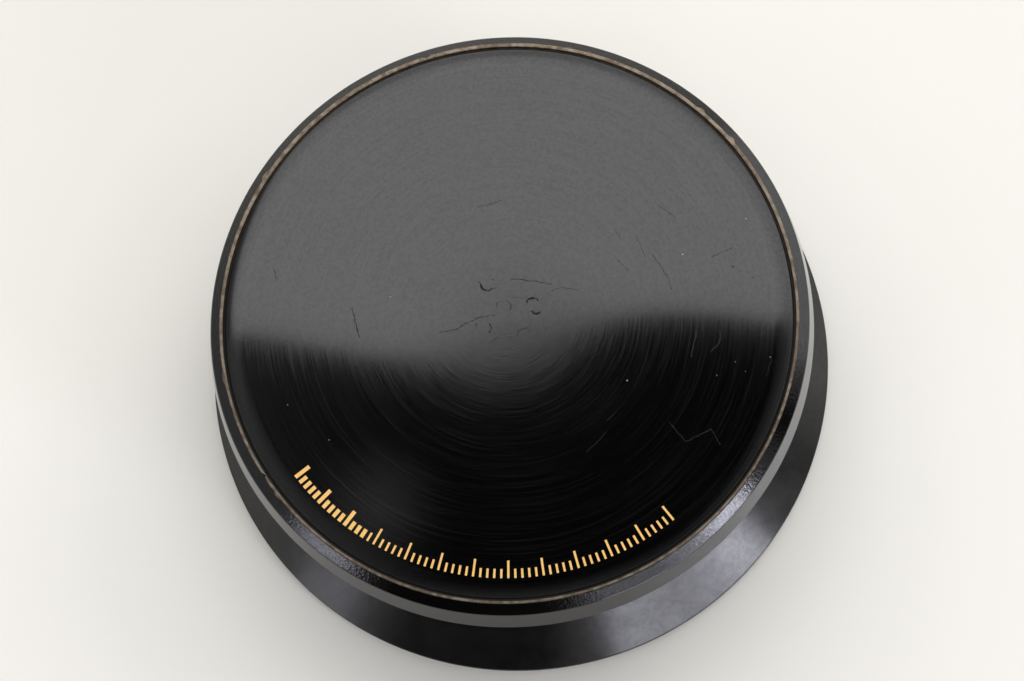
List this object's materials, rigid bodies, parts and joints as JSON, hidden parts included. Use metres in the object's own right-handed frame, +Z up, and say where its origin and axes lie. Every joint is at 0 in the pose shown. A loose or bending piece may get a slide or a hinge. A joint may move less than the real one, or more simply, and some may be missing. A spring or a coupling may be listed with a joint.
{
  "type": "record weight",
  "caption": "Heavy turned record weight: black spun top plate, V-shaped finger waist, conical foot on a rubber ring and a blind spindle hole below. It presses a record onto its platter.",
  "frame": {"origin": "middle of the underside, on the surface that the weight stands on", "axes": "+Z up along the turning axis; -Y towards the middle of the printed scale on the top plate"},
  "size_m": [0.084, 0.084, 0.0259],
  "materials": {
    "black_lacquer": "gloss black lacquer, worn to bare brown metal on the lip",
    "spun_plate": "black, spun in fine rings, glossy",
    "gold_print": "satin gold print",
    "pad_rubber": "matt"
  },
  "bodies": {
    "root": {"weight_body": "black_lacquer", "top_plate": "spun_plate", "base_pad": "pad_rubber"}
  },
  "joints": []
}
